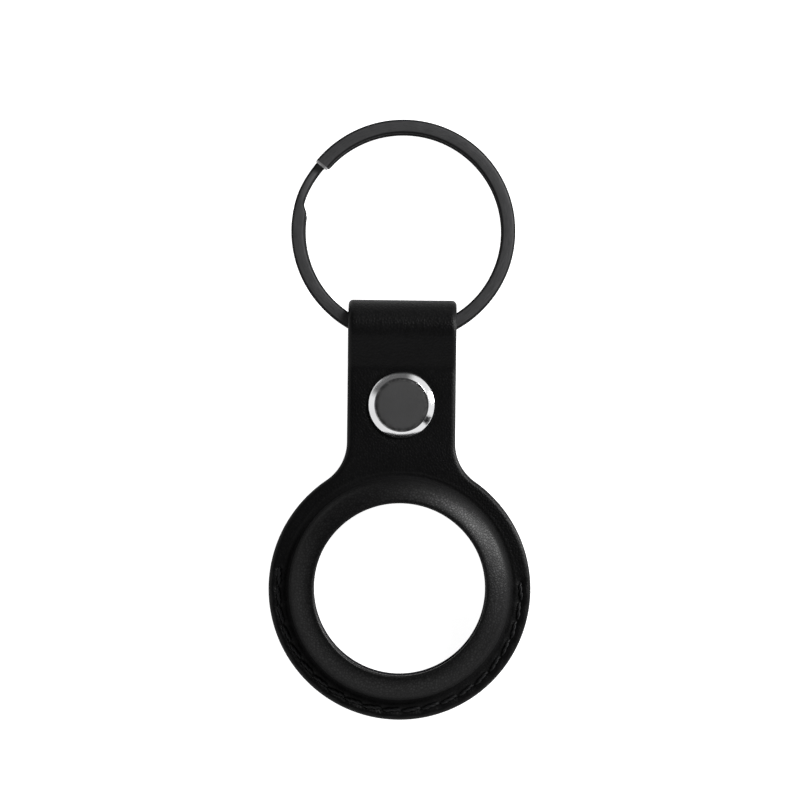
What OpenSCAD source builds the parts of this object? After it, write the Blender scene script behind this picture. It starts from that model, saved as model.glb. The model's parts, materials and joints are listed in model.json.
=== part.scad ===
// Leather key holder for a round tracker tag, with a press stud and a split ring.
// It lies on its back: X across the strap, Y up the strap to the ring, Z out of the front.
// The origin is the centre of the tag's pocket, on the plane where the two panels meet.

/* [Tag] */
// Diameter of the round tag that the pocket takes
tag_d = 31.9; // [28:0.1:38]
// Thickness of the tag
tag_h = 8; // [6.5:0.1:10]
// Clearance between the tag's rim and the pocket
tag_fit = 0.15; // [0.05:0.05:0.5]

/* [Leather] */
// Thickness of the outer leather
leather_t = 1; // [0.8:0.05:1.3]
// Thickness of the lining inside it
lining_t = 0.4; // [0.2:0.05:0.6]
// Width of the rim that laps over the tag
lap_w = 2.8; // [2:0.1:4]
// Width of the flat edge that is sewn
edge_w = 2.8; // [2.2:0.1:4]
// Width of the flat crown round the window
crown_w = 0.6; // [0.4:0.1:1.2]
// Height over which the domed shoulder turns down, inside the lining
shoulder_h = 1.2; // [0.6:0.1:1.3]
// Radius of the hollow at the foot of the moulded rim
foot_r = 0.5; // [0.2:0.1:0.8]

/* [Strap] */
// Width of the strap
strap_w = 16.4; // [14:0.1:18]
// Radius where the strap runs into the disc
neck_r = 7.4; // [5:0.1:10]
// Radius of the hollow where the strap rises to its loop
rise_r = 7.5; // [6:0.1:9]
// Length of strap between the disc's edge and the snap's centre
snap_rise = 8.2; // [7:0.1:14]
// Length of strap between the snap's centre and the loop's axis
loop_rise = 11.9; // [11:0.1:16]
// Length of the tail past the snap's centre
tail_past = 6.4; // [5:0.1:7]
// Length of the back tab past the snap's centre
tab_past = 5.8; // [5:0.1:6.4]
// Corner radius of the tail and the tab
corner_r = 3; // [1:0.1:5]
// Clearance round the ring's wire inside the loop
loop_fit = 0.15; // [0.1:0.05:0.4]
// Gap at the crease where the tail bends away
crease_gap = 0.1; // [0.05:0.01:0.2]

/* [Seam] */
// Diameter of the sewing thread
thread_d = 0.55; // [0.3:0.05:0.8]
// Length of one stitch with its hole
stitch_pitch = 3; // [2:0.1:4]
// Where the seam starts, anticlockwise from +X
seam_start = 170; // [150:1:180]
// How far round the disc the seam runs
seam_turn = 194; // [180:1:230]

/* [Snap] */
// Diameter of the snap's cap
cap_d = 10.3; // [9.5:0.1:10.8]
// Diameter of the cap's flat face
cap_face_d = 8.4; // [7:0.1:9]
// Height of the cap above the leather
cap_h = 1.1; // [0.8:0.1:1.6]
// Height of the cap's upright edge
cap_edge_h = 0.25; // [0.1:0.05:0.4]
// Rounding between the cap's upright edge and its bevel
cap_round = 0.3; // [0.1:0.05:0.35]
// Diameter of the tube under the cap
cap_tube_d = 2.8; // [2.4:0.1:3]
// Diameter of the socket
socket_d = 8; // [7.4:0.1:8.8]
// Height of the socket under the strap
socket_h = 1.5; // [1.4:0.05:1.6]
// Thickness of the pressed metal
metal_t = 0.3; // [0.25:0.01:0.35]
// Diameter of the stud's head
stud_d = 3.8; // [3.6:0.1:4]
// Diameter of the stud's neck
stud_neck_d = 3.2; // [2.9:0.1:3.4]
// Diameter of the stud's base
stud_base_d = 7; // [6:0.1:8]
// Diameter of the post's head on the back
post_d = 8; // [7:0.1:9]
// Height of the post's head
post_h = 0.55; // [0.4:0.05:0.7]
// Diameter of the post's tube
post_tube_d = 1.9; // [1.6:0.1:2]
// Diameter of the spring's wire
spring_wire_d = 0.4; // [0.3:0.02:0.44]
// Clearance round the stud's head in the socket's mouth
mouth_fit = 0.45; // [0.4:0.05:0.55]

/* [Ring] */
// Outside diameter of the split ring
ring_d = 34.8; // [32:0.1:38]
// Width of the ring's wire across its face
wire_w = 2.15; // [1.6:0.05:2.3]
// Width of the wire where it is drawn down at the crank
crank_w = 1.45; // [1.2:0.05:1.6]
// Thickness of one turn of the wire
wire_t = 1.5; // [1.2:0.05:1.7]
// Rounding of the wire's corners
wire_round = 0.45; // [0.2:0.05:0.5]
// Gap between the two turns
turn_gap = 0.1; // [0.05:0.01:0.2]
// How much smaller in radius the back turn is
turn_step = 0.1; // [0:0.05:0.5]
// Where the front turn ends, anticlockwise from +X
ring_end = 142; // [120:1:160]
// How much of the circle the crank takes
crank_turn = 23; // [18:1:30]
// How far short of the crank the back turn ends, under the front one
end_short = 6; // [0:1:12]

/* [Hidden] */
$fn = 96;
arc_steps = 8;
round_steps = 4;
half_turn = 180;
quarter_turn = 90;
overrun = 1;

// Disc and pocket
wall_t = leather_t + lining_t;
pocket_r = tag_d / 2 + tag_fit;
pocket_h = tag_h / 2;
window_r = pocket_r - lap_w;
disc_r = pocket_r + wall_t + edge_w;
foot_centre = [pocket_r + wall_t + foot_r, wall_t + foot_r];
shoulder_w = lap_w - crown_w;
shoulder_centre = [pocket_r - shoulder_w, pocket_h - shoulder_h];
rest_z = -(pocket_h + wall_t);

// Split ring, and the loop that it runs in
stack_t = 2 * wire_t + turn_gap;
front_turn_r = ring_d / 2 - wire_w / 2;
back_turn_r = front_turn_r - turn_step;
ring_inner_r = back_turn_r - wire_w / 2;
wire_near = sqrt(pow(ring_inner_r, 2) - pow(strap_w / 2, 2));
wire_far = ring_d / 2;
ring_offset = (wire_near + wire_far) / 2;
wire_sweep_r = sqrt(pow((wire_far - wire_near) / 2, 2) + pow(stack_t / 2, 2));
loop_r = wire_sweep_r + loop_fit;

// Snap, from the strap's inner face down to the tail's inner face
stud_gap = 0.15;
roll_t = 0.25;
roll_w = 0.5;
stud_base_z = -(socket_h + stud_gap);
snap_space = metal_t - stud_base_z;
mouth_r = stud_d / 2 + mouth_fit;
spring_r = stud_d / 2 + spring_wire_d / 2 + stud_gap;
groove_r = spring_r + spring_wire_d / 2 + stud_gap;
hole_fit = 0.1;
stud_top_z = -(metal_t + roll_t + stud_gap);
stud_rim_h = 0.5;

// Strap
snap_y = disc_r + snap_rise;
loop_y = snap_y + loop_rise;
loop_z = -snap_space / 2;
loop_outer_r = loop_r + wall_t;
rise_z = snap_space / 2 + rise_r;
rise_y = sqrt(pow(loop_r + rise_r, 2) - pow(rise_z, 2));
rise_angle = atan2(rise_z, rise_y);
neck_x = strap_w / 2 + neck_r;
neck_y = sqrt(pow(disc_r + neck_r, 2) - pow(neck_x, 2));
neck_angle = atan2(neck_y, neck_x);
neck_root_r = disc_r - edge_w / 2;
tail_end_y = snap_y - tail_past;
tab_end_y = snap_y + tab_past;
loop_top_y = loop_y + loop_outer_r;

// Seam
seam_share = 0.55;
dip_share = 0.7;
seam_r = disc_r - edge_w * seam_share;
stitch_count = floor(seam_turn * PI / half_turn * seam_r / stitch_pitch);
stitch_turn = seam_turn / stitch_count;
dip_turn = thread_d * dip_share / seam_r * half_turn / PI;

// The ring's far end lies on the surface that the holder rests on
ring_far = ring_offset + wire_far - wire_round;
ring_drop = loop_z - rest_z - wire_round;
ring_low = stack_t / 2 - wire_round;
ring_droop = asin(ring_drop / norm([ring_far, ring_low])) - atan2(ring_low, ring_far);

leather_colour = "#1c1c1f";
lining_colour = "#3a3a3e";
thread_colour = "#0e0e10";
chrome_colour = "#b9bbc0";
steel_colour = "#8d9096";
ring_colour = "#37383b";

function arc(centre, r, from, to, steps = arc_steps) =
    [for (i = [0 : steps])
        let (a = from + (to - from) * i / steps)
        [centre.x + r * cos(a), centre.y + r * sin(a)]];

function reversed(points) = [for (i = [len(points) - 1 : -1 : 0]) points[i]];

function mirrored(points) = [for (p = reversed(points)) [-p.x, p.y]];

// The shoulder is a quarter of an oval, wider than it is high
function shoulder_curve(depth) =
    [for (p = arc([0, 0], 1, 0, quarter_turn))
        [shoulder_centre.x + (shoulder_w + depth) * p.x,
         shoulder_centre.y + (shoulder_h + depth) * p.y]];

// Section of a panel at a depth from the pocket's side, from the disc's edge to the window
function panel_curve(depth) = concat(
    [[disc_r, depth]],
    arc(foot_centre, foot_r + wall_t - depth, half_turn + quarter_turn, half_turn),
    shoulder_curve(depth),
    [[window_r, pocket_h + depth]]);

// Side view of the strap at a depth, from the disc's centre up and over the loop
function strap_curve(depth) = concat(
    [[0, depth]],
    arc([loop_y - rise_y, rise_z + loop_z], rise_r - depth,
        half_turn + quarter_turn, 2 * half_turn - rise_angle),
    arc([loop_y, loop_z], loop_r + depth, half_turn - rise_angle, -quarter_turn, 3 * arc_steps));

// Side view of the tail at a depth, from its end up to the crease
function tail_curve(depth) = concat(
    [[0, 2 * loop_z - depth]],
    arc([loop_y - rise_y, loop_z - rise_z], rise_r - depth, quarter_turn, rise_angle),
    arc([loop_y, loop_z], loop_r + depth, rise_angle - half_turn,
        -quarter_turn - asin(crease_gap / (loop_r + depth))));

// Right-hand edge of the neck, from the disc up to the strap's side
function neck_edge() = concat(
    [[neck_root_r * cos(neck_angle), neck_root_r * sin(neck_angle)]],
    arc([neck_x, neck_y], neck_r, half_turn + neck_angle, half_turn));

function corner(y, from, to) =
    arc([strap_w / 2 - corner_r, y], corner_r, from, to);

module neck_outline(top) {
    edge = concat(neck_edge(), top);
    root = arc([0, 0], neck_root_r, half_turn - neck_angle, neck_angle);
    polygon(concat(edge, mirrored(edge), root));
}

module along_x(width) {
    translate([-width / 2, 0, 0])
        rotate([quarter_turn, 0, quarter_turn])
            linear_extrude(width) children();
}

module upright(low, high) {
    translate([0, 0, low]) linear_extrude(high - low) children();
}

module layer(outer, inner) {
    polygon(concat(outer, reversed(inner)));
}

module disc_layer(from, to) {
    rotate_extrude() layer(panel_curve(to), panel_curve(from));
}

// One layer of the front panel: the moulded disc, the strap and its loop
module front_layer(from, to) {
    difference() {
        union() {
            disc_layer(from, to);
            intersection() {
                upright(rest_z - overrun, -rest_z + overrun)
                    neck_outline([[strap_w / 2, loop_top_y + overrun]]);
                along_x(strap_w + 2 * overrun) layer(strap_curve(to), strap_curve(from));
            }
        }
        translate([0, snap_y, -overrun])
            cylinder(h = wall_t + 2 * overrun, r = cap_tube_d / 2 + hole_fit);
    }
}

// One layer of the back panel: the moulded disc and the tab that the snap goes through
module back_layer(from, to) {
    difference() {
        union() {
            rotate([0, half_turn, 0]) disc_layer(from, to);
            upright(-to, -from) neck_outline(corner(tab_end_y - corner_r, 0, quarter_turn));
        }
        translate([0, snap_y, -wall_t - overrun])
            cylinder(h = wall_t + 2 * overrun, r = socket_d / 2 + hole_fit);
    }
}

// One layer of the strap's tail, which folds down behind the tab
module tail_layer(from, to) {
    side = concat(corner(tail_end_y + corner_r, -quarter_turn, 0),
                  [[strap_w / 2, loop_y + overrun]]);
    difference() {
        intersection() {
            upright(rest_z - overrun, loop_z) polygon(concat(side, mirrored(side)));
            along_x(strap_w + 2 * overrun) layer(tail_curve(to), tail_curve(from));
        }
        translate([0, snap_y, -snap_space - wall_t - overrun])
            cylinder(h = wall_t + 2 * overrun, r = post_tube_d / 2 + hole_fit);
    }
}

module front_panel() {
    color(leather_colour) front_layer(lining_t, wall_t);
}

module front_lining() {
    color(lining_colour) front_layer(0, lining_t);
}

module back_panel() {
    color(leather_colour) back_layer(lining_t, wall_t);
}

module back_lining() {
    color(lining_colour) back_layer(0, lining_t);
}

module strap_tail() {
    color(leather_colour) tail_layer(lining_t, wall_t);
}

module tail_lining() {
    color(lining_colour) tail_layer(0, lining_t);
}

// A stitch lies on each face between two holes, and the thread goes through at each hole
module stitch_run(z) {
    rotate([0, 0, dip_turn / 2])
        rotate_extrude(angle = stitch_turn - dip_turn)
            translate([seam_r, z]) circle(d = thread_d, $fn = 16);
}

module seam_thread() {
    color(thread_colour)
        for (i = [0 : stitch_count]) rotate([0, 0, seam_start + i * stitch_turn]) {
            translate([seam_r, 0, -wall_t]) cylinder(h = 2 * wall_t, d = thread_d, $fn = 16);
            if (i < stitch_count) for (z = [-wall_t, wall_t]) stitch_run(z);
        }
}

// The cap's rolled tube holds the socket against the lining
module snap_cap() {
    face_r = cap_face_d / 2;
    cap_r = cap_d / 2;
    tube_r = cap_tube_d / 2;
    bore_r = tube_r - metal_t;
    top = wall_t + cap_h;
    bevel_tilt = 36;
    shoulder = arc([cap_r - cap_round, wall_t + cap_edge_h], cap_round, 0, quarter_turn - bevel_tilt);
    color(chrome_colour) translate([0, snap_y, 0]) rotate_extrude()
        polygon(concat(
            [[0, wall_t + metal_t], [bore_r, wall_t], [bore_r, -metal_t - roll_t],
             [tube_r + roll_w, -metal_t - roll_t], [tube_r + roll_w, -metal_t],
             [tube_r, -metal_t], [tube_r, wall_t], [cap_r, wall_t]],
            shoulder, [[face_r, top], [0, top]]));
}

// A pressed cup whose lip keeps the spring in
module snap_socket() {
    socket_r = socket_d / 2;
    color(steel_colour) translate([0, snap_y, 0]) rotate_extrude()
        polygon([
            [cap_tube_d / 2 + hole_fit / 2, 0], [socket_r, 0],
            [socket_r, -metal_t], [groove_r + metal_t, -socket_h],
            [mouth_r, -socket_h], [mouth_r, metal_t - socket_h],
            [groove_r, metal_t - socket_h], [groove_r, -metal_t],
            [cap_tube_d / 2 + hole_fit / 2, -metal_t]]);
}

// An open ring of wire that grips the stud's head
module snap_spring() {
    spring_turn = 320;
    spring_z = metal_t - socket_h + spring_wire_d / 2;
    color(steel_colour) translate([0, snap_y, spring_z])
        rotate_extrude(angle = spring_turn)
            translate([spring_r, 0]) circle(d = spring_wire_d, $fn = 16);
}

module snap_stud() {
    neck_r = stud_neck_d / 2;
    head_r = stud_d / 2;
    bore_r = post_tube_d / 2 + hole_fit / 2;
    head_z = stud_top_z - stud_rim_h;
    color(steel_colour) translate([0, snap_y, 0]) rotate_extrude()
        polygon([
            [bore_r, -snap_space], [stud_base_d / 2, -snap_space],
            [stud_base_d / 2, stud_base_z], [neck_r, stud_base_z],
            [neck_r, head_z - roll_t], [head_r, head_z],
            [head_r, stud_top_z - roll_t], [neck_r, stud_top_z],
            [bore_r, stud_top_z]]);
}

// The post's tube goes through the tail and is pressed into the stud
module snap_post() {
    tube_r = post_tube_d / 2;
    bore_r = tube_r - metal_t;
    foot_z = -snap_space - wall_t;
    rim_r = post_d / 2 - post_h;
    color(steel_colour) translate([0, snap_y, 0]) rotate_extrude()
        polygon(concat(
            [[bore_r, foot_z - post_h + roll_t], [bore_r, stud_top_z], [tube_r, stud_top_z],
             [tube_r, foot_z]],
            reversed(arc([rim_r, foot_z], post_h, -quarter_turn, 0)),
            [[tube_r + roll_w, foot_z - post_h]]));
}

module wire_section(width) {
    x = width / 2 - wire_round;
    y = wire_t / 2 - wire_round;
    polygon(concat(
        arc([x, y], wire_round, 0, quarter_turn, round_steps),
        arc([-x, y], wire_round, quarter_turn, half_turn, round_steps),
        arc([-x, -y], wire_round, half_turn, half_turn + quarter_turn, round_steps),
        arc([x, -y], wire_round, half_turn + quarter_turn, 2 * half_turn, round_steps)));
}

module wire_arc(r, turn, width) {
    rotate([0, 0, -turn / 2]) rotate_extrude(angle = turn) translate([r, 0]) wire_section(width);
}

// Two turns of one wire: the narrower crank carries it from the front turn down to the back one
module split_ring() {
    lap_turn = 3;
    turn_z = (wire_t + turn_gap) / 2;
    crank_r = ring_d / 2 - crank_w / 2;
    crank_tilt = asin(turn_z / (crank_r * sin(crank_turn / 2)));
    crank_at = ring_end + crank_turn / 2;
    color(ring_colour)
        translate([0, loop_y, loop_z]) rotate([-ring_droop, 0, 0])
            translate([0, ring_offset, 0]) rotate([0, 0, crank_at]) {
                translate([0, 0, turn_z]) rotate([0, 0, half_turn])
                    wire_arc(front_turn_r, 2 * half_turn - crank_turn, wire_w);
                translate([0, 0, -turn_z]) rotate([0, 0, half_turn + end_short / 2])
                    wire_arc(back_turn_r, 2 * half_turn - crank_turn - end_short, wire_w);
                rotate([crank_tilt, 0, 0]) wire_arc(crank_r, crank_turn + lap_turn, crank_w);
            }
}

front_panel();
front_lining();
back_panel();
back_lining();
seam_thread();
strap_tail();
tail_lining();
snap_cap();
snap_socket();
snap_spring();
snap_stud();
snap_post();
split_ring();
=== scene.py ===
import json
import math

import bmesh
import bpy
import numpy as np
from mathutils import Matrix, Vector, noise
from mathutils.geometry import delaunay_2d_cdt


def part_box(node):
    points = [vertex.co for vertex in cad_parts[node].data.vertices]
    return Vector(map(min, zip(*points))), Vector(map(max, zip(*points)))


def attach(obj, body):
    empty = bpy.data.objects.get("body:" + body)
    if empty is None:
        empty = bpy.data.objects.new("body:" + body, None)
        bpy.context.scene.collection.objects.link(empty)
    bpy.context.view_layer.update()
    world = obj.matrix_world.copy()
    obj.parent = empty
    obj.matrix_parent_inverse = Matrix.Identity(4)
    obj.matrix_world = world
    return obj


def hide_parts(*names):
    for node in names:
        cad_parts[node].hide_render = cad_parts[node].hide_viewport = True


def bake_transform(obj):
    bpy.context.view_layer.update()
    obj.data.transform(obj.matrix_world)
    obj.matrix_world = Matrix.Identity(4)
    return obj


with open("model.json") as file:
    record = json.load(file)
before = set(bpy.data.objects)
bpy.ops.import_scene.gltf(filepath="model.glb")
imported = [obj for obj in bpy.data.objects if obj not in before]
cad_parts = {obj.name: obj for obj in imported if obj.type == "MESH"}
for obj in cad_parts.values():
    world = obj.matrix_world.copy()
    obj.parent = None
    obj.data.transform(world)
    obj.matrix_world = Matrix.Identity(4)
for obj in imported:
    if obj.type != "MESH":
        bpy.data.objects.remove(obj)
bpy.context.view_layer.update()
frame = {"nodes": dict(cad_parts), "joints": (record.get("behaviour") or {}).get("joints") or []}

bl_info = {
    "name": "Leather tag holder",
    "version": (1, 0, 0),
    "blender": (4, 5, 0),
    "location": "3D View > Sidebar > Tag Holder",
    "description": "Leather key holder for a round tracker tag, with its press stud and split ring",
    "category": "Add Mesh",
}

MM = 0.001


def joint_place(name):
    return Vector(next(j for j in frame["joints"] if j["name"] == name)["pos_m"])


def low(node):
    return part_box(node)[0]


def high(node):
    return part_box(node)[1]


# Sizes that the solid model gives
DISC_R = high("front_panel").x
STRAP_HALF = high("strap_tail").x
LEATHER_T = high("front_panel").z - high("front_lining").z
LINING_T = high("tail_lining").z - high("strap_tail").z
WALL_T = LEATHER_T + LINING_T
POCKET_H = high("front_lining").z - LINING_T
REST_Z = low("back_panel").z
TAB_END = high("back_panel").y
TAIL_END = low("strap_tail").y
SNAP_Y = (high("snap_cap").y + low("snap_cap").y) / 2
SNAP_GAP = -high("tail_lining").z
CAP_R = high("snap_cap").x
CAP_TOP = high("snap_cap").z
LOOP = joint_place("ring_swing")
LOOP_R = high("front_panel").y - LOOP.y - WALL_T

# Sizes of this model's own
MIDDLE = WALL_T - LEATHER_T / 2
LINING_EDGE_R = 0.1 * MM
INNER_EDGE_R = 0.12 * MM
STRAP_HOLE_R = 1.5 * MM
TAB_HOLE_R = 4.1 * MM
TAIL_HOLE_R = 1.05 * MM
SNAP_DENT = 0.07 * MM
RIPPLE_SIZE = 7 * MM
RIPPLE_H = 0.035 * MM
THREAD_PROUD = 0.35     # how much of the thread's diameter its middle stands above the groove

# Mesh density
DISC_STEPS = 210
NECK_STEPS = 22
CORNER_STEPS = 15
RIM_STEPS = 360
BAND_STEPS = 480
SNAP_STEPS = 96
TAIL_SNAP_STEPS = 64
EDGE_STEPS = 6
OVAL_STEPS = 64
CAP_STEPS = 160
WIRE_STEP_DEGREES = 1.25
GRID_STEP = 0.36 * MM
RIM_STEP = 0.2 * MM
BAND_STEP = 0.17 * MM
SNAP_STEP = 0.25 * MM
MESH_GAP = 0.1 * MM
PAST_EDGE = 1.5     # the last row beside an edge, in its roundings
TINY = 1e-9


# Kinds of setting

def metres(label, description, default):
    return bpy.props.FloatProperty(
        name=label, description=description, default=default, unit="LENGTH", precision=5)


def degrees(label, description, default):
    return bpy.props.FloatProperty(
        name=label, description=description, default=math.radians(default), subtype="ANGLE")


def tint(label, description, default):
    return bpy.props.FloatVectorProperty(
        name=label, description=description, default=default, subtype="COLOR", size=3, min=0, max=1)


class LeatherSizes(bpy.types.PropertyGroup):
    """Sizes of the leather parts"""

    window_r: metres("Window radius", "Radius of the round window in each panel", 13.3 * MM)
    pocket_r: metres("Pocket radius", "Radius of the moulded pocket inside the lining", 16.1 * MM)
    crown_w: metres("Crown width", "Width of the flat crown round the window", 0.6 * MM)
    shoulder_h: metres("Shoulder height", "Height over which the domed shoulder turns down", 1.2 * MM)
    thinning: metres(
        "Shoulder thinning", "How much thinner the leather is where it is stretched over the tag", 0.35 * MM)
    foot_r: metres("Foot radius", "Radius of the hollow at the foot of the moulded rim", 0.5 * MM)
    neck_r: metres("Neck radius", "Radius where the strap runs into the disc", 7.2 * MM)
    rise_r: metres("Rise radius", "Radius of the hollow where the strap starts to rise to its loop", 4 * MM)
    corner_r: metres("Corner radius", "Corner radius of the tail and the back tab", 3 * MM)
    edge_r: metres("Edge rounding", "Rounding of the burnished outer edge", 0.75 * MM)
    edge_bulge: metres("Edge bulge", "How far the strap's painted edge stands proud on each side", 0.2 * MM)
    lip_r: metres("Lip rounding", "Rounding of the cut edge round the window", 0.3 * MM)
    split_past: metres("Crease reach", "How far past the loop's axis the front leather runs", 1.5 * MM)


class SeamSizes(bpy.types.PropertyGroup):
    """Sizes of the sewn seam"""

    radius: metres("Seam radius", "Radius of the line of stitches", 18.76 * MM)
    start: degrees("Seam start", "Where the seam starts, anticlockwise from +X", 170)
    turn: degrees("Seam turn", "How far round the disc the seam runs", 194)
    count: bpy.props.IntProperty(
        name="Stitches", description="Number of stitches on each face", default=21, min=1)
    thread_d: metres("Thread diameter", "Diameter of the waxed sewing thread", 0.55 * MM)
    groove: metres("Groove depth", "Depth of the groove that the thread lies in", 0.2 * MM)
    pucker: metres("Pucker depth", "Extra depth of the dent round each needle hole", 0.11 * MM)


class RingSizes(bpy.types.PropertyGroup):
    """Sizes of the split ring"""

    diameter: metres("Ring diameter", "Outside diameter of the split ring", 2 * high("split_ring").x)
    wire_w: metres("Wire width", "Width of the wire across the ring's face", 2.15 * MM)
    crank_w: metres("Crank width", "Width of the wire where it is drawn down at the crank", 1.45 * MM)
    wire_t: metres("Wire thickness", "Thickness of one turn of the wire", 1.5 * MM)
    turn_gap: metres("Turn gap", "Gap between the two turns", 0.1 * MM)
    turn_step: metres("Turn step", "How much smaller in radius the back turn is", 0.1 * MM)
    rounding: metres("Wire rounding", "Rounding of the wire's corners", 0.45 * MM)
    end: degrees("Front end", "Where the front turn ends, anticlockwise from +X", 142)
    crank: degrees("Crank turn", "How much of the circle the crank takes", 23)
    end_short: degrees("Back end", "How far short of the crank the back turn ends", 6)


class CapSizes(bpy.types.PropertyGroup):
    """Sizes of the press stud's cap"""

    face_r: metres("Face radius", "Radius of the cap's flat face", 4.2 * MM)
    edge_h: metres("Edge height", "Height of the cap's upright edge above the leather", 0.25 * MM)
    rounding: metres("Edge rounding", "Rounding between the upright edge and the bevel", 0.3 * MM)
    tube_r: metres("Tube radius", "Radius of the rolled tube that goes through the strap", 1.4 * MM)
    groove: metres("Groove depth", "Depth of the shallow groove just inside the face's edge", 0.035 * MM)


class Finishes(bpy.types.PropertyGroup):
    """Colours of the materials"""

    leather: tint("Leather", "Colour of the dyed leather", (0.0036, 0.0036, 0.0038))
    lining: tint("Lining", "Colour of the microfibre lining", (0.030, 0.030, 0.033))
    thread: tint("Thread", "Colour of the waxed thread", (0.0045, 0.0045, 0.005))
    chrome: tint("Chrome", "Colour of the snap's polished cap", (0.80, 0.80, 0.81))
    steel: tint("Plated steel", "Colour of the snap's inner parts", (0.50, 0.50, 0.51))
    ring: tint("Black plating", "Colour of the split ring's black plating", (0.088, 0.088, 0.090))
    # Painted shade: the wire's sides are given a near-black colour for the shade that falls on them
    ring_side_shade: tint(
        "Plating on the sides", "Colour of the plating on the wire's unbrushed sides", (0.007, 0.007, 0.0075))


class StudioSizes(bpy.types.PropertyGroup):
    """Where the camera stands"""

    distance: metres("Camera distance", "Height of the camera above the floor", 1.1)
    view_w: metres("View width", "Width of the view at the holder", 124 * MM)
    centre_x: metres("View centre X", "Where the camera points across the strap", -0.24 * MM)
    centre_y: metres("View centre Y", "Where the camera points along the strap", 29.25 * MM)
    roll: degrees("Camera roll", "Turn of the camera about its own line of sight", 0.615)


# Shader helpers

NODES_A_ROW, NODE_W, NODE_H = 9, 220, 260


def add(tree, kind, inputs=None, **settings):
    """A node with its settings, and its inputs set or linked, by name or by number."""
    made = tree.nodes.new(kind)
    for name, value in settings.items():
        setattr(made, name, value)
    for key, value in (inputs or {}).items():
        if isinstance(value, bpy.types.NodeSocket):
            tree.links.new(value, made.inputs[key])
        else:
            made.inputs[key].default_value = value
    row, column = divmod(len(tree.nodes), NODES_A_ROW)
    made.location = (NODE_W * column, -NODE_H * row)
    return made


def math_node(tree, operation, *values, clamp=False):
    inputs = dict(enumerate(values))
    return add(tree, "ShaderNodeMath", inputs, operation=operation, use_clamp=clamp).outputs[0]


def vector_node(tree, operation, *values):
    return add(tree, "ShaderNodeVectorMath", dict(enumerate(values)), operation=operation)


def mix_value(tree, factor, a, b):
    return add(tree, "ShaderNodeMix", {0: factor, 2: a, 3: b}, data_type="FLOAT").outputs[0]


def mix_colour(tree, factor, a, b):
    """a and b are colours or sockets that carry one."""
    a, b = (c if isinstance(c, bpy.types.NodeSocket) else (*c, 1) for c in (a, b))
    return add(tree, "ShaderNodeMix", {0: factor, 6: a, 7: b}, data_type="RGBA").outputs[2]


def shade(colour, share):
    return tuple(c * share for c in colour)


def mottled(tree, factor, colour, dark, light):
    """From a dark to a light shade of one colour."""
    return mix_colour(tree, factor, shade(colour, dark), shade(colour, light))


def remap(tree, value, from_low, from_high, to_low=0.0, to_high=1.0):
    inputs = {0: value, 1: from_low, 2: from_high, 3: to_low, 4: to_high}
    return add(tree, "ShaderNodeMapRange", inputs).outputs[0]


def clouds(tree, place, scale, detail, roughness=0.5):
    inputs = {"Vector": place, "Scale": scale, "Detail": detail, "Roughness": roughness}
    return add(tree, "ShaderNodeTexNoise", inputs).outputs[0]


def scaled(tree, vector, factor):
    return add(tree, "ShaderNodeVectorMath", {0: vector, 3: factor}, operation="SCALE").outputs[0]


def counted_in(tree, place, unit):
    """A coordinate, counted in a unit of length."""
    return scaled(tree, place, math_node(tree, "DIVIDE", 1.0, unit))


def object_place(tree):
    return add(tree, "ShaderNodeTexCoord").outputs["Object"]


def rest_place(tree):
    """Where a point of the leather lies at rest, so that its grain bends with it."""
    return add(tree, "ShaderNodeAttribute", attribute_name="rest_place").outputs["Vector"]


def mask(tree, name):
    return add(tree, "ShaderNodeAttribute", attribute_name=name).outputs["Fac"]


def new_group(name, values, outputs):
    """A shader node group that takes a Place and the named values, with their defaults."""
    tree = bpy.data.node_groups.new(name, "ShaderNodeTree")
    tree.interface.new_socket(name="Place", in_out="INPUT", socket_type="NodeSocketVector")
    for label, default in values.items():
        socket = tree.interface.new_socket(name=label, in_out="INPUT", socket_type="NodeSocketFloat")
        socket.default_value = default
    for label in outputs:
        tree.interface.new_socket(name=label, in_out="OUTPUT", socket_type="NodeSocketFloat")
    return tree, tree.nodes.new("NodeGroupInput").outputs, tree.nodes.new("NodeGroupOutput").inputs


def grain_group(name):
    """Leather grain: pebbles between fine creases, with pores."""
    tree, inside, outside = new_group(
        name, {"Pebble": 0.45 * MM, "Warp": 0.5}, ["Height", "Crease", "Cloud"])
    place = counted_in(tree, inside["Place"], inside["Pebble"])
    drift = add(tree, "ShaderNodeTexNoise", {"Vector": place, "Scale": 0.6, "Detail": 2.0}).outputs["Color"]
    warped = vector_node(tree, "ADD", place, scaled(tree, drift, inside["Warp"])).outputs[0]
    cells = add(tree, "ShaderNodeTexVoronoi", {"Vector": warped, "Scale": 1.0, "Randomness": 0.9},
                feature="DISTANCE_TO_EDGE").outputs["Distance"]
    pores = add(tree, "ShaderNodeTexVoronoi", {"Vector": warped, "Scale": 2.3}).outputs["Distance"]
    fine = clouds(tree, warped, 4.5, 3.0)
    body = math_node(tree, "MULTIPLY_ADD", fine, 0.35, remap(tree, cells, 0.0, 0.32))
    pitted = mix_value(tree, remap(tree, pores, 0.0, 0.16), 0.75, 1.0)
    tree.links.new(math_node(tree, "MULTIPLY", body, pitted), outside["Height"])
    tree.links.new(remap(tree, cells, 0.0, 0.1, 1.0, 0.0), outside["Crease"])
    tree.links.new(clouds(tree, place, 0.07, 3.0), outside["Cloud"])
    return tree


def wear_group(name):
    """Rubbed patches that break up a mask of edges."""
    tree, inside, outside = new_group(name, {"Mask": 0.0, "Patch": 1.5 * MM, "Amount": 0.5}, ["Wear"])
    place = counted_in(tree, inside["Place"], inside["Patch"])
    lifted = math_node(tree, "MULTIPLY_ADD", inside["Mask"], 0.45, clouds(tree, place, 1.0, 5.0, 0.65))
    threshold = math_node(tree, "SUBTRACT", 1.15, math_node(tree, "MULTIPLY", inside["Amount"], 0.4))
    rubbed = math_node(tree, "SUBTRACT", lifted, threshold)
    tree.links.new(math_node(tree, "MULTIPLY", rubbed, 9.0, clamp=True), outside["Wear"])
    return tree


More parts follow.
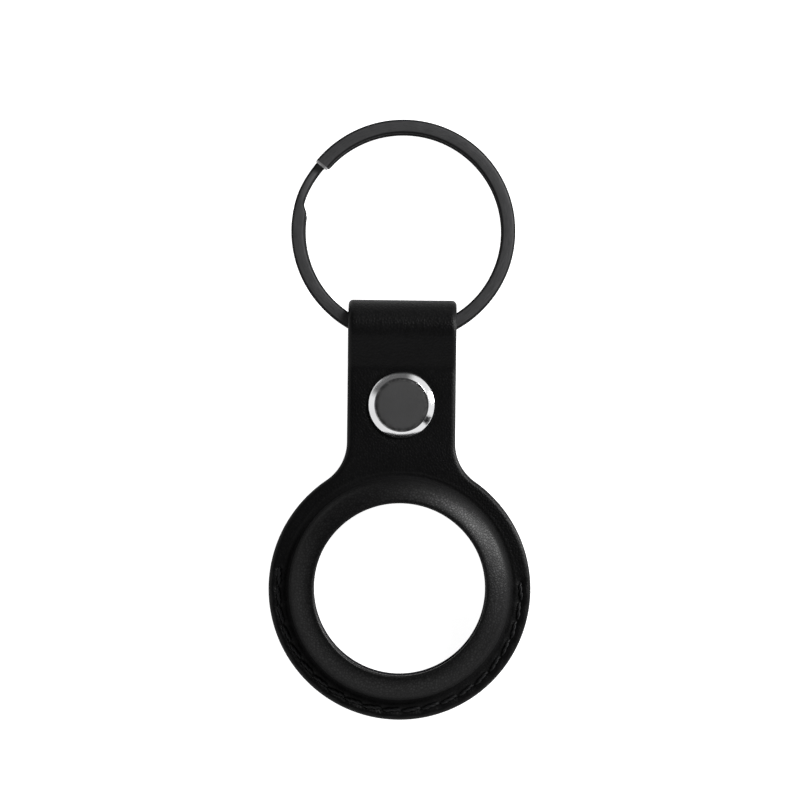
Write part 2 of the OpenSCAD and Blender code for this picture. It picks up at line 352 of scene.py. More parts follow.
def scratch_group(name):
    """Fine handling marks, drawn out along one direction of the coordinate."""
    tree, inside, outside = new_group(name, {"Spacing": 0.12 * MM, "Stretch": 18.0}, ["Marks", "Haze"])
    place = counted_in(tree, inside["Place"], inside["Spacing"])
    squeeze = math_node(tree, "DIVIDE", 1.0, inside["Stretch"])
    stretch = add(tree, "ShaderNodeCombineXYZ", {0: squeeze, 1: 1.0, 2: 1.0}).outputs[0]
    drawn = vector_node(tree, "MULTIPLY", place, stretch).outputs[0]
    tree.links.new(remap(tree, clouds(tree, drawn, 1.0, 4.0, 0.7), 0.35, 0.65), outside["Marks"])
    tree.links.new(remap(tree, clouds(tree, place, 0.05, 3.0), 0.3, 0.7), outside["Haze"])
    return tree


def place_group(tree, name, **values):
    """A shared node group, built when it is first asked for, with its values for one material."""
    makers = {"Leather grain": grain_group, "Rubbed edge": wear_group, "Handling marks": scratch_group}
    group = bpy.data.node_groups.get(name) or makers[name](name)
    return add(tree, "ShaderNodeGroup", values, node_tree=group).outputs


def new_material(name, **constants):
    """A material with its Principled shader. Constants name the shader's inputs, _ for a space."""
    made = bpy.data.materials.new(name)
    made.use_nodes = True
    shader = made.node_tree.nodes["Principled BSDF"]
    for key, value in constants.items():
        shader.inputs[key.replace("_", " ")].default_value = value
    return made, made.node_tree, shader


def feed(tree, shader, **sockets):
    """Links sockets to the shader's inputs, which the keywords name."""
    for key, socket in sockets.items():
        tree.links.new(socket, shader.inputs[key.replace("_", " ")])


def bump(tree, height, distance):
    return add(tree, "ShaderNodeBump", {"Height": height, "Distance": distance, "Strength": 1.0}).outputs[0]


# Materials

def leather_material():
    """Black dyed leather: grain, painted shade in its creases, clouded dye, a waxed rim and a painted,
    burnished edge.
    """
    black = bpy.context.scene.tag_finishes.leather
    made, tree, shader = new_material("black_leather", Specular_IOR_Level=0.13, Coat_Roughness=0.36)
    place = rest_place(tree)
    edge = mask(tree, "edge")
    grain = place_group(tree, "Leather grain", Place=place)
    wear = place_group(tree, "Rubbed edge", Place=place, Mask=edge, Amount=0.35)
    dyed = mottled(tree, grain["Cloud"], black, 0.6, 1.5)
    # Painted shade: the grain's creases are darkened in the colour
    crease_shaded = mix_colour(tree, grain["Crease"], dyed, shade(black, 0.35))
    painted = mix_colour(tree, edge, crease_shaded, shade(black, 0.8))
    worn = mix_colour(tree, wear["Wear"], painted, shade(black, 3.2))
    # The mould leaves a shine on the rim's crown and shoulder, and a dull hollow at its foot
    level = vector_node(tree, "MULTIPLY", object_place(tree), (1, 1, 0)).outputs[0]
    radius = vector_node(tree, "LENGTH", level).outputs["Value"]
    crowned = remap(tree, radius, 16.8 * MM, 15.6 * MM)
    waxed = remap(tree, grain["Height"], 0.3, 1.3, 0.18, 0.60)
    hollow = math_node(tree, "MULTIPLY", remap(tree, radius, 16.4 * MM, 17.1 * MM),
                       remap(tree, radius, 18.4 * MM, 17.9 * MM))
    sheen_rough, hollow_rough = 0.34, 0.8
    rough = remap(tree, grain["Height"], 0.0, 1.3, 0.43, sheen_rough)
    burnished = mix_value(tree, edge, rough, sheen_rough)
    smoothed = math_node(tree, "SUBTRACT", 1.0, math_node(tree, "MULTIPLY", edge, 0.7))
    height = math_node(tree, "MULTIPLY", grain["Height"], smoothed)
    feed(tree, shader, Base_Color=worn, Roughness=mix_value(tree, hollow, burnished, hollow_rough),
         Coat_Weight=math_node(tree, "MULTIPLY", crowned, waxed), Normal=bump(tree, height, 0.026 * MM))
    return made


def lining_material():
    """Matt microfibre: short nap that lies in soft clouds."""
    finish = bpy.context.scene.tag_finishes
    made, tree, shader = new_material(
        "microfibre_lining", Specular_IOR_Level=0.15, Sheen_Weight=0.25, Sheen_Roughness=0.5)
    nap = clouds(tree, rest_place(tree), 5200.0, 4.0, 0.7)
    lay = clouds(tree, rest_place(tree), 420.0, 2.0)
    mixed = math_node(tree, "MULTIPLY_ADD", nap, 0.6, math_node(tree, "MULTIPLY", lay, 0.4))
    feed(tree, shader, Base_Color=mottled(tree, mixed, finish.lining, 0.55, 1.35),
         Roughness=remap(tree, nap, 0.3, 0.7, 0.88, 1.0), Normal=bump(tree, nap, 0.03 * MM))
    return made


def thread_material():
    """Waxed thread: fine fibres with a soft gloss where the wax is thick."""
    finish = bpy.context.scene.tag_finishes
    made, tree, shader = new_material("waxed_thread", Specular_IOR_Level=0.2)
    fibres = clouds(tree, object_place(tree), 9000.0, 3.0)
    wax = clouds(tree, object_place(tree), 900.0, 2.0)
    feed(tree, shader, Base_Color=mottled(tree, fibres, finish.thread, 0.6, 1.9),
         Roughness=remap(tree, wax, 0.3, 0.7, 0.5, 0.7), Normal=bump(tree, fibres, 0.02 * MM))
    return made


def cap_material():
    """Polished shoulder round a flat face with a soft satin haze, its colour darkened as a painted dark
    reflection, and a groove that is darker in patches.
    """
    chrome = bpy.context.scene.tag_finishes.chrome
    made, tree, shader = new_material("polished_cap", Metallic=1.0)
    face = mask(tree, "face")
    marks = place_group(tree, "Handling marks", Place=object_place(tree), Spacing=0.25 * MM, Stretch=1.5)
    shiny = mottled(tree, marks["Haze"], chrome, 0.9, 1.08)
    # The satin face is darker than the shoulder: partly its satin finish, partly a painted dark reflection in
    # its colour
    satin = mottled(tree, marks["Haze"], chrome, 0.58, 0.64)
    # The groove's colour is darker in patches
    patches = remap(tree, clouds(tree, object_place(tree), 1500.0, 3.0), 0.3, 0.6, 0.1, 1.0)
    groove_darkened = math_node(tree, "MULTIPLY", mask(tree, "groove"), patches)
    grooved = mix_colour(tree, groove_darkened, satin, shade(chrome, 0.3))
    satin_rough = remap(tree, marks["Marks"], 0.0, 1.0, 0.28, 0.32)
    shiny_rough = remap(tree, marks["Haze"], 0.0, 1.0, 0.07, 0.13)
    feed(tree, shader, Base_Color=mix_colour(tree, face, shiny, grooved),
         Roughness=mix_value(tree, face, shiny_rough, satin_rough),
         Normal=bump(tree, marks["Marks"], 0.002 * MM))
    return made


def steel_material():
    """Barrel-plated steel: fine handling marks over a soft shine."""
    finish = bpy.context.scene.tag_finishes
    made, tree, shader = new_material("plated_steel", Metallic=1.0)
    marks = place_group(tree, "Handling marks", Place=object_place(tree), Spacing=0.09 * MM, Stretch=9.0)
    feed(tree, shader, Base_Color=mottled(tree, marks["Haze"], finish.steel, 0.78, 1.1),
         Roughness=remap(tree, marks["Marks"], 0.0, 1.0, 0.22, 0.38),
         Normal=bump(tree, marks["Marks"], 0.004 * MM))
    return made


def ring_material():
    """Black plating, brushed on the wire's flat faces, matt on its sides, and bare at the cut ends; painted
    shade darkens the sides and the crank.
    """
    finish = bpy.context.scene.tag_finishes
    made, tree, shader = new_material("black_plated_ring", Specular_IOR_Level=0.08)
    along = add(tree, "ShaderNodeUVMap", uv_map="wire").outputs[0]
    flat, bare = mask(tree, "flat"), mask(tree, "bare")
    marks = place_group(tree, "Handling marks", Place=along, Spacing=0.08 * MM, Stretch=24.0)
    wear = place_group(tree, "Rubbed edge", Place=along, Mask=mask(tree, "corner"), Amount=0.1)
    brushed = mottled(tree, marks["Marks"], finish.ring, 0.82, 1.2)
    haze = math_node(tree, "MULTIPLY", marks["Haze"], 0.25)
    hazed = mix_colour(tree, haze, brushed, shade(finish.ring, 0.5))
    # Painted shade: the wire's sides take the near-black side colour
    side_shaded = mix_colour(tree, flat, finish.ring_side_shade, hazed)
    rubbed = mix_colour(tree, wear["Wear"], side_shaded, shade(finish.ring, 1.5))
    satin = remap(tree, marks["Marks"], 0.0, 1.0, 0.30, 0.40)
    feed(tree, shader, Base_Color=mix_colour(tree, bare, rubbed, finish.steel),
         Metallic=math_node(tree, "MAXIMUM", math_node(tree, "MULTIPLY", flat, 0.55), bare),
         Roughness=mix_value(tree, flat, 0.6, satin), Normal=bump(tree, marks["Marks"], 0.004 * MM))
    return made


def material(name):
    """The named material, made when it is first asked for."""
    makers = {
        "black_leather": leather_material, "microfibre_lining": lining_material,
        "waxed_thread": thread_material, "polished_cap": cap_material,
        "plated_steel": steel_material, "black_plated_ring": ring_material,
    }
    return bpy.data.materials.get(name) or makers[name]()


# Sections and paths: how a flat pattern is bent to its place

def way(angle):
    """The unit direction at an angle."""
    return np.array([math.cos(angle), math.sin(angle)])


def bell(distance, width):
    return np.exp(-(distance / width) ** 2)


def smooth(share):
    share = np.clip(share, 0, 1)
    return share * share * (3 - 2 * share)


class Line:
    """A straight stretch on the pocket's side; normal points out of the leather."""

    def __init__(self, start, end, normal):
        self.start = np.array(start)
        self.end = np.array(end)
        self.normal = np.array(normal, float)
        self.length = float(np.hypot(*(self.end - self.start)))

    def at(self, share):
        return self.start + (self.end - self.start) * share, self.normal


class Arc:
    """A bend. outward is +1 where the leather lies outside it, and -1 where it lies inside."""

    def __init__(self, centre, radius, start, end, outward):
        self.centre = np.array(centre)
        self.radius = radius
        self.start = start
        self.end = end
        self.outward = outward
        self.length = (radius + outward * MIDDLE) * abs(end - start)

    def at(self, share):
        out = way(self.start + (self.end - self.start) * share)
        return self.centre + out * self.radius, out * self.outward


class Oval:
    """A quarter of an oval from its side up to its top, with the leather outside it."""

    def __init__(self, centre, width, height):
        self.centre = np.array(centre)
        self.size = np.array([width, height])
        self.angles = np.linspace(0, math.pi / 2, OVAL_STEPS + 1)
        middle = self.size + WALL_T - LEATHER_T / 2
        points = np.column_stack([np.cos(self.angles), np.sin(self.angles)]) * middle
        steps = np.hypot(*np.diff(points, axis=0).T)
        self.walked = np.concatenate([[0], np.cumsum(steps)])
        self.length = float(self.walked[-1])

    def at(self, share):
        out = way(np.interp(share * self.length, self.walked, self.angles))
        return self.centre + out * self.size, out


def walk(stretches, distance):
    """The point and outward normal at a distance along the stretches."""
    for stretch in stretches:
        if distance <= stretch.length or stretch is stretches[-1]:
            return stretch.at(min(distance / stretch.length, 1.0))
        distance -= stretch.length


def total(stretches):
    return sum(stretch.length for stretch in stretches)


class Holder:
    """The leather parts' shared geometry, worked out from their sizes."""

    def __init__(self, sizes, seam):
        self.sizes = sizes
        self.seam = seam
        self.strap_half = STRAP_HALF + sizes.edge_bulge
        self.neck_x = self.strap_half + sizes.neck_r
        self.neck_y = math.sqrt((DISC_R + sizes.neck_r) ** 2 - self.neck_x ** 2)
        self.neck_angle = math.atan2(self.neck_y, self.neck_x)
        self.rim_start = sizes.pocket_r + WALL_T + sizes.foot_r
        split = math.asin(sizes.split_past / (LOOP_R + WALL_T)) - math.pi / 2
        foot_out = sizes.foot_r + WALL_T
        shoulder_w = sizes.pocket_r - sizes.window_r - sizes.crown_w
        shoulder = (sizes.pocket_r - shoulder_w, POCKET_H - sizes.shoulder_h)
        self.rim = [
            Arc((self.rim_start, foot_out), foot_out, 1.5 * math.pi, math.pi, -1),
            Line((sizes.pocket_r, foot_out), (sizes.pocket_r, shoulder[1]), (1, 0)),
            Oval(shoulder, shoulder_w, sizes.shoulder_h),
            Line((shoulder[0], POCKET_H), (sizes.window_r, POCKET_H), (0, 1)),
        ]
        # The strap starts to rise just past the cap, and runs straight from there to its loop
        self.flat_end = SNAP_Y + CAP_R + 0.1 * MM
        run = LOOP.y - self.flat_end
        climb = sizes.rise_r - LOOP.z
        slope = math.atan2(run, climb) - math.acos((sizes.rise_r + LOOP_R) / math.hypot(run, climb))
        lean = np.array([-math.sin(slope), math.cos(slope)])
        bend_end = np.array([self.flat_end, sizes.rise_r]) - lean * sizes.rise_r
        touch = np.array([LOOP.y, LOOP.z]) + lean * LOOP_R
        below = np.array([1, -1])
        across = np.array([0, 2 * LOOP.z])
        self.rise = [
            Arc((self.flat_end, sizes.rise_r), sizes.rise_r, 1.5 * math.pi, 1.5 * math.pi + slope, -1),
            Line(bend_end, touch, lean),
            Arc((LOOP.y, LOOP.z), LOOP_R, math.pi / 2 + slope, split, 1),
        ]
        self.tail = [
            Line((TAIL_END, -SNAP_GAP), (self.flat_end, -SNAP_GAP), (0, -1)),
            Arc((self.flat_end, 2 * LOOP.z - sizes.rise_r), sizes.rise_r,
                math.pi / 2, math.pi / 2 - slope, -1),
            Line(across + below * bend_end, across + below * touch, below * lean),
            Arc((LOOP.y, LOOP.z), LOOP_R, -math.pi / 2 - slope, split, 1),
        ]
        self.rim_end = self.rim_start - total(self.rim)
        self.strap_end = self.flat_end + total(self.rise)
        self.tail_length = total(self.tail)

    def panel_place(self, x, y):
        """Where a point of a panel's flat pattern goes, and its normal."""
        ring = math.hypot(x, y)
        if ring < self.rim_start:
            (r, z), (nr, nz) = walk(self.rim, self.rim_start - ring)
            return (x / ring * r, y / ring * r, z), (x / ring * nr, y / ring * nr, nz)
        if y > self.flat_end:
            (py, pz), (ny, nz) = walk(self.rise, y - self.flat_end)
            return (x, py, pz), (0, ny, nz)
        return (x, y, 0), (0, 0, 1)

    def tail_place(self, x, y):
        """Where a point of the tail's flat pattern goes, and its normal. y starts at the crease."""
        (py, pz), (ny, nz) = walk(self.tail, self.tail_length - y)
        return (x, py, pz), (0, ny, nz)

    def panel_inset(self, x, y, end=None):
        """How far a point lies inside a panel's outer edge. end rounds off a tab there."""
        side = np.abs(x)
        inset = np.where(
            y > self.neck_y, self.strap_half - side,
            np.where(np.arctan2(y, side) > self.neck_angle,
                     np.hypot(side - self.neck_x, y - self.neck_y) - self.sizes.neck_r,
                     DISC_R - np.hypot(x, y)))
        return inset if end is None else np.where(y > self.neck_y, self.end_inset(x, end - y), inset)

    def end_inset(self, x, past):
        """How far inside a rounded end: past is the distance from its tip."""
        corner = self.sizes.corner_r
        side = np.abs(x)
        across = side - (self.strap_half - corner)
        along = corner - past
        rounded = corner - np.hypot(across, along)
        return np.where((across > 0) & (along > 0), rounded, np.minimum(self.strap_half - side, past))

    def panel_outline(self, top, rounded):
        """Right half of a panel's edge from the bottom up, as points with their inward normals."""
        disc = np.linspace(-math.pi / 2, self.neck_angle, DISC_STEPS)
        neck = np.linspace(math.pi + self.neck_angle, math.pi, NECK_STEPS)[1:]
        end = self.corner_points(top) if rounded else []
        straight = top - self.sizes.corner_r if rounded else top
        return [*arc_points((0, 0), DISC_R, disc, -1),
                *arc_points((self.neck_x, self.neck_y), self.sizes.neck_r, neck, 1),
                *self.side_points(self.neck_y, straight)[1:], *end]

    def tail_outline(self):
        """Right half of the tail's edge, from the crease round to its tip."""
        length = self.tail_length
        return self.side_points(0, length - self.sizes.corner_r) + self.corner_points(length)

    def side_points(self, bottom, top):
        heights = np.linspace(bottom, top, round((top - bottom) / GRID_STEP))
        return [(np.array([self.strap_half, y]), np.array([-1.0, 0.0])) for y in heights]

    def corner_points(self, top):
        """A rounded corner and the end's edge, as far as the middle."""
        corner = self.sizes.corner_r
        turned = np.linspace(0, math.pi / 2, CORNER_STEPS)[1:]
        steps = round((self.strap_half - corner) / GRID_STEP)
        across = np.linspace(self.strap_half - corner, 0, steps)[1:]
        return [*arc_points((self.strap_half - corner, top - corner), corner, turned, -1),
                *[(np.array([x, top]), np.array([0.0, -1.0])) for x in across]]

    def grid(self, bottom, top):
        """Staggered points over the strap's width."""
        columns = np.arange(-self.strap_half, self.strap_half, GRID_STEP)
        lines = np.arange(bottom, top, GRID_STEP)
        return np.array([(x + GRID_STEP / 2 * (j % 2), y) for j, y in enumerate(lines) for x in columns])


def arc_points(centre, radius, angles, facing):
    """Points round an arc, with normals away from its centre (1) or towards it (-1)."""
    return [(np.array(centre) + way(a) * radius, way(a) * facing) for a in angles]


def edge_steps(radius):
    """Distances from an edge that follow its rounding."""
    return [radius * (1 - math.cos(math.pi / 2 * i / EDGE_STEPS)) for i in range(EDGE_STEPS + 1)]


def edge_drop(inset, radius):
    """How far a rounded edge falls below the face, at a distance inside it."""
    left = radius - np.clip(inset, 0, radius)
    return radius - np.sqrt(np.maximum(radius ** 2 - left ** 2, 0))


def circle_points(centre, radius, steps, shift=0.0):
    angles = (np.arange(steps) + shift) * 2 * math.pi / steps
    return np.column_stack([centre[0] + radius * np.cos(angles), centre[1] + radius * np.sin(angles)])


def rings_of_points(centre, radii, steps):
    """Rings of points, every second one turned by half a step."""
    return [circle_points(centre, r, steps, 0.5 * (i % 2)) for i, r in enumerate(radii)]


def closed_outline(half):
    """A half outline and its mirror image, as one closed loop."""
    right = [p for p, _ in half]
    left = [np.array([-p[0], p[1]]) for p in reversed(right) if p[0] > TINY]
    return np.array(right + left)


def edge_rows(half, edge_r):
    """Rows of points beside an outline that follow its rounding, and one row past it."""
    rows = []
    for distance in edge_steps(edge_r)[1:] + [edge_r * PAST_EDGE]:
        for p, inward in half:
            q = p + inward * distance
            rows.append(q)
            if q[0] > TINY:
                rows.append(np.array([-q[0], q[1]]))
    return np.array(rows)


def fill_pattern(loops, points, inside):
    """Fills closed loops with triangles through the given points. inside says what is kept."""
    scale = 1 / MM
    near, speck = 1e-4, 1e-14
    coords = [Vector(p * scale) for p in np.vstack([*loops, points])]
    edges = []
    first = 0
    for loop in loops:
        edges += [(first + i, first + (i + 1) % len(loop)) for i in range(len(loop))]
        first += len(loop)
    found, _, faces, _, _, _ = delaunay_2d_cdt(coords, edges, [], 0, near, False)
    flat = np.array([tuple(v) for v in found]) / scale
    faces = np.array(faces)
    a, b, c = (flat[faces[:, i]] for i in range(3))
    area = (b[:, 0] - a[:, 0]) * (c[:, 1] - a[:, 1]) - (b[:, 1] - a[:, 1]) * (c[:, 0] - a[:, 0])
    faces = np.where((area < 0)[:, None], faces[:, ::-1], faces)
    middle = (a + b + c) / 3
    faces = faces[inside(middle[:, 0], middle[:, 1]) & (np.abs(area) > speck)]
    used, numbered = np.unique(faces, return_inverse=True)
    return flat[used], numbered.reshape(faces.shape)


def new_piece(name, data):
    """An object at the origin with this mesh, lamp or camera, in the scene."""
    piece = bpy.data.objects.new(name, data)
    bpy.context.scene.collection.objects.link(piece)
    return piece


def set_attribute(mesh, name, values):
    attribute = mesh.attributes.new(name, "FLOAT", "POINT")
    attribute.data.foreach_set("value", np.asarray(values, np.float32))


def sheet_mesh(name, flat, faces, place, outer, inner, edge, turn_over=False):
    """A sheet of leather: its two faces at the given depths, joined round every edge."""
    spots = [place(x, y) for x, y in flat]
    base = np.array([s[0] for s in spots], float)
    normal = np.array([s[1] for s in spots], float)
    count = len(flat)
    verts = np.vstack([base + normal * outer[:, None], base + normal * inner[:, None]])
    sides = {(tri[i], tri[(i + 1) % 3]) for tri in faces.tolist() for i in range(3)}
    walls = [(a, a + count, b + count, b) for a, b in sorted(sides) if (b, a) not in sides]
    polygons = faces.tolist() + (faces[:, ::-1] + count).tolist() + walls
    if turn_over:
        verts[:, 2] *= -1
        polygons = [p[::-1] for p in polygons]
    mesh = bpy.data.meshes.new(name)
    mesh.from_pydata(verts.tolist(), [], polygons)
    mesh.shade_smooth()
    attribute = mesh.attributes.new("rest_place", "FLOAT_VECTOR", "POINT")
    attribute.data.foreach_set("vector", verts.astype(np.float32).ravel())
    set_attribute(mesh, "edge", np.concatenate([edge, edge]))
    return new_piece(name, mesh)


def holder_geometry():
    scene = bpy.context.scene
    return Holder(scene.tag_leather, scene.tag_seam)


def seam_dent(holder, x, y):
    """Groove along the seam, with a deeper dent round each needle hole and a swell beside it."""
    seam = holder.seam
    groove_w, hole_w, hole_long = 0.36 * MM, 0.5 * MM, 0.8
    swell_h, swell_at, swell_w = 0.05 * MM, 0.75 * MM, 0.35 * MM
    ring = np.hypot(x, y)
    angle = np.mod(np.arctan2(y, x) - seam.start, 2 * math.pi)
    pitch = seam.turn / seam.count
    past = np.minimum(np.maximum(angle - seam.turn, 0), 2 * math.pi - angle) * seam.radius
    across = ring - seam.radius
    fade = bell(past, hole_w)
    groove = seam.groove * bell(across, groove_w) * fade
    nearest = np.round(np.clip(angle, 0, seam.turn) / pitch) * pitch
    spread = np.abs(angle - nearest)
    along = np.minimum(spread, 2 * math.pi - spread) * seam.radius
    hole = seam.pucker * bell(np.hypot(along * hole_long, across), hole_w)
    swell = swell_h * bell(np.abs(across) - swell_at, swell_w)
    swell = swell * np.cos(along / (pitch * seam.radius) * 2 * math.pi) * fade
    return groove + hole + swell


def ripple(x, y, seed):
    """Slow unevenness of a hand-finished sheet."""
    spots = [Vector((a / RIPPLE_SIZE, b / RIPPLE_SIZE, seed)) for a, b in zip(x, y)]
    return np.array([noise.noise(spot) for spot in spots]) * RIPPLE_H


def stretched(past):
    """How far the leather has thinned, as a share: soonest at the crown's edge, then slower."""
    start, bend, run = 0.4 * MM, 0.35 * MM, 2.25 * MM
    first = np.clip(past - start, 0, bend)
    after = np.clip(past - start - bend, 0, run)
    return (first ** 2 / (2 * bend) + after - after ** 2 / (2 * run)) / ((bend + run) / 2)


def layer(sizes, leather):
    """The depths between which the leather or its lining lies, and its edges' rounding."""
    if leather:
        return LINING_T, WALL_T, sizes.edge_r, sizes.lip_r
    return 0, LINING_T, LINING_EDGE_R, LINING_EDGE_R


def painted_edge(inset, edge_r):
    """How much of the edge's paint lies on a point."""
    return np.clip(1 - inset / (edge_r * 1.1), 0, 1) ** 0.7


def panel_points(holder, top, rounded, hole_r, edge_r):
    """The loops and points that fill a panel: its rim, sewn band, neck and strap."""
    half = holder.panel_outline(top, rounded)
    lip = [holder.rim_end + d for d in edge_steps(holder.sizes.lip_r)]
    rim = list(np.arange(lip[-1] + RIM_STEP, holder.rim_start, RIM_STEP))
    band = list(np.arange(holder.rim_start, DISC_R - edge_r * PAST_EDGE - MESH_GAP, BAND_STEP))
    # Rings of points close round the snap's hole, and from under the cap's edge to beyond it
    rings_from, rings_to, grid_to, grid_from = 4.6 * MM, 7.0 * MM, 4.7 * MM, 16 * MM
    collar = [hole_r + 0.15 * MM, hole_r + 0.4 * MM]
    collar += list(np.arange(max(collar[-1], rings_from) + SNAP_STEP, rings_to, SNAP_STEP))
    grid = holder.grid(grid_from, top)
    apart = np.hypot(grid[:, 0], grid[:, 1] - SNAP_Y)
    clear = (apart > collar[-1] + MESH_GAP) | ((apart > collar[1] + 0.15 * MM) & (apart < grid_to))
    clear &= np.hypot(grid[:, 0], grid[:, 1]) > band[-1] + 0.12 * MM
    inner = np.vstack([
        *rings_of_points((0, 0), lip[1:] + rim, RIM_STEPS), *rings_of_points((0, 0), band, BAND_STEPS),
        *rings_of_points((0, SNAP_Y), collar, SNAP_STEPS), grid[clear]])
    depth = holder.panel_inset(inner[:, 0], inner[:, 1], top if rounded else None)
    inner = inner[(depth > edge_r * PAST_EDGE + MESH_GAP) & (inner[:, 1] < top - MESH_GAP)]
    loops = [closed_outline(half), circle_points((0, 0), holder.rim_end, RIM_STEPS),
             circle_points((0, SNAP_Y), hole_r, SNAP_STEPS)]
    return loops, np.vstack([edge_rows(half, edge_r), inner])


def build_panel(name, holder, front, leather, hole_r):
    """A panel's leather, or its lining."""
    low_depth, high_depth, edge_r, lip_r = layer(holder.sizes, leather)
    top = holder.strap_end if front else TAB_END
    tab = None if front else top

    def inside(x, y):
        kept = (holder.panel_inset(x, y, tab) > 0) & (np.hypot(x, y) > holder.rim_end) & (y < top)
        return kept & (np.hypot(x, y - SNAP_Y) > hole_r)

    flat, faces = fill_pattern(*panel_points(holder, top, not front, hole_r, edge_r), inside)
    x, y = flat[:, 0], flat[:, 1]
    rim = np.hypot(x, y) - holder.rim_end
    edge = holder.panel_inset(x, y, tab)
    outer = high_depth - edge_drop(edge, edge_r) - edge_drop(rim, lip_r)
    inner = low_depth + edge_drop(edge, INNER_EDGE_R) + edge_drop(rim, LINING_EDGE_R)
    if leather:
        foot = holder.rim_start - holder.rim_end
        foot_fade, lip_flat, dent_w = 1.2 * MM, 0.8 * MM, 0.8 * MM
        outer = outer - holder.sizes.thinning * stretched(rim) * smooth((foot - rim) / foot_fade)
        flatness = np.clip((rim - lip_flat) / MM, 0, 1) * np.clip(edge / MM, 0, 1)
        outer = outer - seam_dent(holder, x, y)
        outer = outer + ripple(x, y, 3.7) * flatness
        if front:
            outer = outer - SNAP_DENT * bell(np.hypot(x, y - SNAP_Y) - CAP_R, dent_w)
    painted_lip = np.clip(1 - rim / (0.35 * MM), 0, 1)
    return sheet_mesh(name, flat, faces, holder.panel_place, outer, inner,
                      np.maximum(painted_edge(edge, edge_r), painted_lip), turn_over=not front)


def build_tail(name, holder, leather):
    """The leather or lining of the tail, from the crease to its rounded tip."""
    low_depth, high_depth, edge_r, _ = layer(holder.sizes, leather)
    length = holder.tail_length
    snap = length - (SNAP_Y - TAIL_END)
    half = holder.tail_outline()
    # Rings of points close round the hole, and round the stud's base
    rings_from, rings_to, base_r, dent_w = 3.4 * MM, 5 * MM, 4 * MM, 0.7 * MM
    collars = (TAIL_HOLE_R + 0.15 * MM, *np.arange(rings_from, rings_to, SNAP_STEP))
    grid = holder.grid(0, length)
    apart = np.hypot(grid[:, 0], grid[:, 1] - snap)
    clear = (apart > rings_to + MESH_GAP) | ((apart < rings_from - MESH_GAP) & (apart > 1.4 * MM))
    points = np.vstack([*rings_of_points((0, snap), collars, TAIL_SNAP_STEPS), grid[clear]])
    depth = holder.end_inset(points[:, 0], length - points[:, 1])
    points = points[(depth > edge_r * PAST_EDGE + MESH_GAP) & (points[:, 1] > MESH_GAP)]
    loops = [closed_outline(half), circle_points((0, snap), TAIL_HOLE_R, TAIL_SNAP_STEPS)]

    def inside(x, y):
        return (holder.end_inset(x, length - y) > 0) & (np.hypot(x, y - snap) > TAIL_HOLE_R) & (y > 0)

    flat, faces = fill_pattern(loops, np.vstack([edge_rows(half, edge_r), points]), inside)
    x, y = flat[:, 0], flat[:, 1]
    edge = holder.end_inset(x, length - y)
    outer = high_depth - edge_drop(edge, edge_r)
    inner = low_depth + edge_drop(edge, INNER_EDGE_R)
    if leather:
        outer = outer + ripple(x, y, 8.1) * (np.clip(edge / MM, 0, 1) * np.clip(y / (2 * MM), 0, 1))
        outer = outer - SNAP_DENT * bell(np.hypot(x, y - snap) - base_r, dent_w)
    return sheet_mesh(name, flat, faces, holder.tail_place, outer, inner, painted_edge(edge, edge_r))


def dress(piece, body, slot, look, *nodes):
    """Gives a piece its material and body, and hides the solids that it stands for. The slot is not used."""
    piece.data.materials.clear()
    piece.data.materials.append(material(look))
    if body:
        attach(piece, body)
    if nodes:
        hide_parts(*nodes)
    return piece


class TAG_OT_front_leather(bpy.types.Operator):
    """Front panel: moulded rim, strap and loop, with its lining"""
    bl_idname = "tag.front_leather"
    bl_label = "Front Leather"

    def execute(self, context):
        holder = holder_geometry()
        leather = build_panel("front_leather", holder, True, True, STRAP_HOLE_R)
        dress(leather, "holder", "leather", "black_leather", "front_panel")
        lining = build_panel("front_microfibre", holder, True, False, STRAP_HOLE_R)
        dress(lining, "holder", "lining", "microfibre_lining", "front_lining")
        return {"FINISHED"}


class TAG_OT_back_leather(bpy.types.Operator):
    """Back panel: moulded rim and the tab behind the strap, with its lining"""
    bl_idname = "tag.back_leather"
    bl_label = "Back Leather"

    def execute(self, context):
        holder = holder_geometry()
        leather = build_panel("back_leather", holder, False, True, TAB_HOLE_R)
        dress(leather, "holder", "leather", "black_leather", "back_panel")
        lining = build_panel("back_microfibre", holder, False, False, TAB_HOLE_R)
        dress(lining, "holder", "lining", "microfibre_lining", "back_lining")
        return {"FINISHED"}


class TAG_OT_strap_tail(bpy.types.Operator):
    """The strap's tail, folded down behind the tab, with its lining"""
    bl_idname = "tag.strap_tail"
    bl_label = "Strap Tail"

    def execute(self, context):
        holder = holder_geometry()
        leather = build_tail("tail_leather", holder, True)
        dress(leather, None, "leather", "black_leather", "strap_tail")
        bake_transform(leather)
        lining = build_tail("tail_microfibre", holder, False)
        dress(lining, None, "lining", "microfibre_lining", "tail_lining")
        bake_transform(lining)
        return {"FINISHED"}


